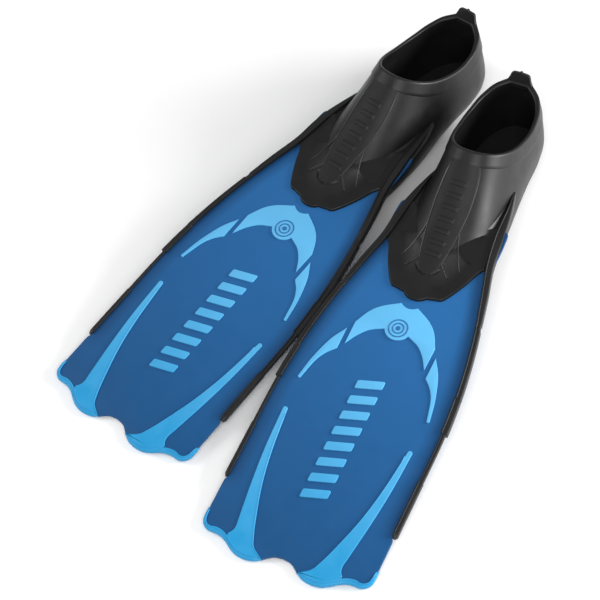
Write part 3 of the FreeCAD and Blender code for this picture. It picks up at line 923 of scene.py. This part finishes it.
LIGHT_TIP_BLUE = (0.009, 0.250, 0.515)
LIGHT_ROOT_BLUE = (0.098, 0.395, 0.680)
LIGHT_PALE_BLUE = (0.15, 0.50, 0.78)
LIGHT_FADE = (20.0, 260.0)


class Nodes:
    """Small helper that builds one material's node tree, with places in millimetres.

    A piece carries its places of the fin frame as fin_mm; on_cad reads a CAD mesh's own."""

    def __init__(self, name, sheen, on_cad=False):
        self.material = bpy.data.materials.new(name)
        self.material.use_nodes = True
        self.tree = self.material.node_tree
        self.shader = self.tree.nodes["Principled BSDF"]
        self.shader.inputs["Specular IOR Level"].default_value = sheen
        if on_cad:
            source = self.tree.nodes.new("ShaderNodeTexCoord")
            scale = self.tree.nodes.new("ShaderNodeVectorMath")
            scale.operation = "SCALE"
            scale.inputs["Scale"].default_value = 1 / MM
            self.tree.links.new(source.outputs["Object"], scale.inputs["Vector"])
            self.spot = scale.outputs["Vector"]
        else:
            source = self.tree.nodes.new("ShaderNodeAttribute")
            source.attribute_name = "fin_mm"
            self.spot = source.outputs["Vector"]

    def calc(self, operation, a, b=0.0):
        """One sum of two sockets or numbers."""
        node = self.tree.nodes.new("ShaderNodeMath")
        node.operation = operation
        self.feed(node.inputs[0], a)
        self.feed(node.inputs[1], b)
        return node.outputs[0]

    def feed(self, socket, value):
        """Sets a socket to a number or links it to another socket."""
        if isinstance(value, (int, float)):
            socket.default_value = value
        else:
            self.tree.links.new(value, socket)

    def noise(self, scale, detail=2.0):
        """Soft noise, scale waves to the millimetre."""
        node = self.tree.nodes.new("ShaderNodeTexNoise")
        node.inputs["Scale"].default_value = scale
        node.inputs["Detail"].default_value = detail
        self.tree.links.new(self.spot, node.inputs["Vector"])
        return node.outputs["Fac"]

    def patches(self, scale, low, high, detail=2.0):
        """Soft patches that vary between low and high."""
        return self.remap(self.noise(scale, detail), *NOISE_RANGE, low, high)

    def remap(self, value, low, high, to_low, to_high):
        """Value moved from low..high to to_low..to_high."""
        node = self.tree.nodes.new("ShaderNodeMapRange")
        for socket, number in zip(node.inputs[1:5], (low, high, to_low, to_high)):
            socket.default_value = number
        self.tree.links.new(value, node.inputs[0])
        return node.outputs[0]

    def mix(self, factor, a, b):
        """Colour between a and b."""
        node = self.tree.nodes.new("ShaderNodeMix")
        node.data_type = "RGBA"
        self.tree.links.new(factor, node.inputs["Factor"])
        for socket, colour in ((node.inputs["A"], a), (node.inputs["B"], b)):
            if isinstance(colour, tuple):
                socket.default_value = (*colour, 1)
            else:
                self.tree.links.new(colour, socket)
        return node.outputs["Result"]

    def axis(self, index):
        """x, y or z of the place."""
        node = self.tree.nodes.new("ShaderNodeSeparateXYZ")
        self.tree.links.new(self.spot, node.inputs[0])
        return node.outputs[index]

    def bump(self, height, distance, strength=0.35):
        """Relief, distance millimetres deep."""
        node = self.tree.nodes.new("ShaderNodeBump")
        node.inputs["Strength"].default_value = strength
        node.inputs["Distance"].default_value = distance * MM
        self.tree.links.new(height, node.inputs["Height"])
        self.tree.links.new(node.outputs["Normal"], self.shader.inputs["Normal"])

    def finish(self, colour, roughness):
        """The material, once its colour and roughness are linked."""
        self.tree.links.new(colour, self.shader.inputs["Base Color"])
        self.tree.links.new(roughness, self.shader.inputs["Roughness"])
        return self.material


def scaled(colour, factor):
    """The colour made brighter or darker."""
    return tuple(c * factor for c in colour)


def blade_plastic():
    """Blue plastic, deeper towards the tip, with painted shade in a band beside the rails, and a fine
    moulded texture.
    """
    n = Nodes("blade_plastic", 0.22)
    along = n.remap(n.axis(1), *BLADE_FADE, 0.0, 1.0)
    colour = n.mix(along, BLADE_TIP_BLUE, BLADE_ROOT_BLUE)
    beyond = n.calc("MAXIMUM", n.calc("SUBTRACT", n.axis(1), TAPER_START), 0.0)
    bow = n.calc("MULTIPLY", n.calc("MULTIPLY", beyond, beyond), TAPER_RATE)
    inset = n.calc("SUBTRACT", RAIL_LINE, n.calc("ADD", n.calc("ABSOLUTE", n.axis(0)), bow))
    # painted shade: darkens the blade in a band beside each rail, fading in above the rail's lower end
    rail_shade = n.remap(inset, 0.0, RAIL_SHADE_WIDTH, 1.0, 0.0)
    shade_above_end = n.remap(n.axis(1), RAIL_END_Y - RAIL_SHADE_START, RAIL_END_Y + RAIL_SHADE_START, 0.0, RAIL_SHADE_SHARE)
    colour = n.mix(n.calc("MULTIPLY", rail_shade, shade_above_end), colour, RAIL_SHADE_BLUE)
    colour = n.mix(n.patches(0.03, 0.0, 0.08), colour, BLADE_PALE_BLUE)
    n.bump(n.noise(2.2, 4.0), 0.05)
    return n.finish(colour, n.patches(0.05, 0.38, 0.5))


def light_rubber():
    """Bright blue rubber, paler towards the blade root."""
    n = Nodes("light_rubber", 0.3)
    along = n.remap(n.axis(1), *LIGHT_FADE, 0.0, 1.0)
    colour = n.mix(along, LIGHT_TIP_BLUE, LIGHT_ROOT_BLUE)
    colour = n.mix(n.patches(0.05, 0.0, 0.1), colour, LIGHT_PALE_BLUE)
    n.bump(n.noise(1.8, 3.0), 0.05)
    return n.finish(colour, n.patches(0.06, 0.42, 0.54))


def rubber(name, colour, roughness, grain, height, sheen=0.3, on_cad=False):
    """Plain rubber with a fine grain and a faint, uneven sheen."""
    n = Nodes(name, sheen, on_cad)
    shade = n.mix(n.patches(0.035, 0.0, 1.0), scaled(colour, 0.85), scaled(colour, 1.25))
    n.bump(n.noise(grain, 4.0), height)
    return n.finish(shade, n.patches(0.05, roughness - 0.05, roughness + 0.06, 3.0))


BLADE = blade_plastic()
LIGHT = light_rubber()
BADGE = rubber("badge_blue", (0.02, 0.115, 0.30), 0.42, 1.5, 0.05)
RAIL = rubber("rail_rubber", (0.008, 0.008, 0.0085), 0.42, 1.4, 0.08, 0.35)
POCKET = rubber("pocket_rubber", (0.007, 0.007, 0.0072), 0.4, 1.6, 0.08, 0.3)
PANEL = rubber("panel_rubber", (0.005, 0.005, 0.0052), 0.52, 2.2, 0.14, 0.3)
LINE = rubber("fine_line", (0.02, 0.02, 0.021), 0.3, 1.5, 0.05, 0.5)
LINING = rubber("lining_rubber", (0.006, 0.006, 0.006), 0.5, 1.6, 0.1, 0.25)
FOOTBED = rubber("footbed_rubber", (0.012, 0.012, 0.0122), 0.5, 1.2, 0.15, 0.35, on_cad=True)
TREAD = rubber("tread_rubber", (0.010, 0.010, 0.0105), 0.55, 1.2, 0.15, 0.3, on_cad=True)
CAD_MATERIALS = {"footbed": FOOTBED, "outsole": TREAD, "tread_ribs": TREAD, "heel_pad": TREAD}


# ---- the pair -------------------------------------------------------------------------------
def both_sides(fin, name, shape, material, nodes, body=None):
    """The piece on the right and its mirror image on the left."""
    piece(fin, name + "_right", shape, material, [node + "_right" for node in nodes], body)
    piece(fin, name + "_left", mirrored(shape), material, [node + "_left" for node in nodes], body)


def build_fin(fin):
    """Every piece of one fin; the hidden soles stay CAD meshes and only get a material."""
    piece(fin, "blade_sheet", blade(), BLADE, ["blade_panel", "root_plate"])
    piece(fin, "arch_inlay", arch(), LIGHT, ["arch"])
    piece(fin, "round_badge", badge(), BADGE, ["badge"], "blade")
    piece(fin, "bars", accent_bars(), LIGHT, ["accent_bars"], "blade")
    both_sides(fin, "tip_lip", lip_and_flare(), LIGHT, ["lip"], "blade")
    both_sides(fin, "tail_inlay", tail(), LIGHT, ["tail"], "blade")
    both_sides(fin, "side_rail", rail(), RAIL, ["rail", "rail_root"])
    both_sides(fin, "web", side_web(), POCKET, [], "foot")
    piece(fin, "shoe", shell(0.0, 0.0, -CUFF + 1.0), POCKET, ["pocket_upper"], "foot")
    piece(fin, "shoe_lining", shell(-WALL, WALL + 2.0, -CUFF + 1.0), LINING, [], "foot")
    piece(fin, "cuff", cuff(), POCKET, ["rim_collar"], "foot")
    piece(fin, "apron", apron(), POCKET, ["toe_apron"], "foot")
    piece(fin, "instep_strip", panel(), PANEL, ["instep_panel"], "foot")
    piece(fin, "strip_ribs", instep_ribs(), PANEL, ["instep_ribs"], "foot")
    piece(fin, "strip_lines", edge_lines(), LINE, [], "foot")
    piece(fin, "heel_tab", tab(), POCKET, ["pull_tab"], "tab")
    for name, material in CAD_MATERIALS.items():
        mesh = frame["nodes"][fin + "_" + name].data
        mesh.materials.clear()
        mesh.materials.append(material)


for fin in FINS:
    build_fin(fin)


# ---- floor, light and camera ----------------------------------------------------------------
def plain(name, colour, roughness):
    """Material of one colour."""
    material = bpy.data.materials.new(name)
    material.use_nodes = True
    shader = material.node_tree.nodes["Principled BSDF"]
    shader.inputs["Base Color"].default_value = (*colour, 1)
    shader.inputs["Roughness"].default_value = roughness
    return material


FLOOR_HALF = 6
FLOOR_Z = -0.0002           # a hair below the heel pads, so that the two faces do not coincide


def floor():
    """Wide pale floor under the fins."""
    mesh = bpy.data.meshes.new("floor")
    corners = [(-FLOOR_HALF, -FLOOR_HALF), (FLOOR_HALF, -FLOOR_HALF), (FLOOR_HALF, FLOOR_HALF),
               (-FLOOR_HALF, FLOOR_HALF)]
    mesh.from_pydata([(x, y, FLOOR_Z) for x, y in corners], [], [(0, 1, 2, 3)])
    mesh.materials.append(plain("floor", (0.9, 0.9, 0.9), 0.7))
    obj = bpy.data.objects.new("floor", mesh)
    bpy.context.collection.objects.link(obj)


def lamp(name, place, target, size, power):
    """Soft box that faces its target."""
    data = bpy.data.lights.new(name, "AREA")
    data.shape = "RECTANGLE"
    data.size, data.size_y = size
    data.energy = power
    obj = bpy.data.objects.new(name, data)
    obj.location = place
    obj.rotation_euler = (Vector(target) - Vector(place)).to_track_quat("-Z", "Y").to_euler()
    bpy.context.collection.objects.link(obj)


def world():
    """White surroundings, plain colours."""
    back = bpy.data.worlds.new("studio")
    back.use_nodes = True
    back.node_tree.nodes["Background"].inputs["Color"].default_value = (1, 1, 1, 1)
    back.node_tree.nodes["Background"].inputs["Strength"].default_value = 0.4
    bpy.context.scene.world = back
    bpy.context.scene.view_settings.view_transform = "Standard"


# the camera in fin b's frame: the way from the fins back to it, its right side and its place
CAMERA_BACK = Vector((0.329, -0.409, 0.851)).normalized()
CAMERA_RIGHT = Vector((0.8936, 0.4264, -0.1405))
CAMERA_PLACE = Vector((694.2, -734.4, 2056.0))
CAMERA_UPWARDS = 34.0       # moved this much up and to the right, so that both fins are in the picture
CAMERA_SIDEWAYS = 5.0
LENS = 138.0


def camera():
    """Long lens, high up and a little to the right of fin b's tip."""
    up = CAMERA_BACK.cross(CAMERA_RIGHT).normalized()
    right = up.cross(CAMERA_BACK)
    place = PLACE["fin_b"]
    turn = (place.to_3x3() @ Matrix((right, up, CAMERA_BACK)).transposed()).to_quaternion()
    data = bpy.data.cameras.new("camera")
    data.sensor_width = 36.0
    data.lens = LENS
    data.clip_end = 50
    obj = bpy.data.objects.new("camera", data)
    obj.rotation_mode = "QUATERNION"
    obj.rotation_quaternion = turn
    obj.location = place @ (CAMERA_PLACE + CAMERA_UPWARDS * up + CAMERA_SIDEWAYS * right)
    bpy.context.collection.objects.link(obj)
    bpy.context.scene.camera = obj


floor()
world()
lamp("right", place=(1.5, 0.95, 0.62), target=(0.05, 0.2, 0.05), size=(1.0, 0.8), power=48)
lamp("front", place=(0.9, -1.3, 1.9), target=(0, 0, 0), size=(1.6, 1.6), power=38)
lamp("left", place=(-1.6, -0.6, 1.2), target=(0, 0, 0), size=(1.0, 1.0), power=13)
camera()
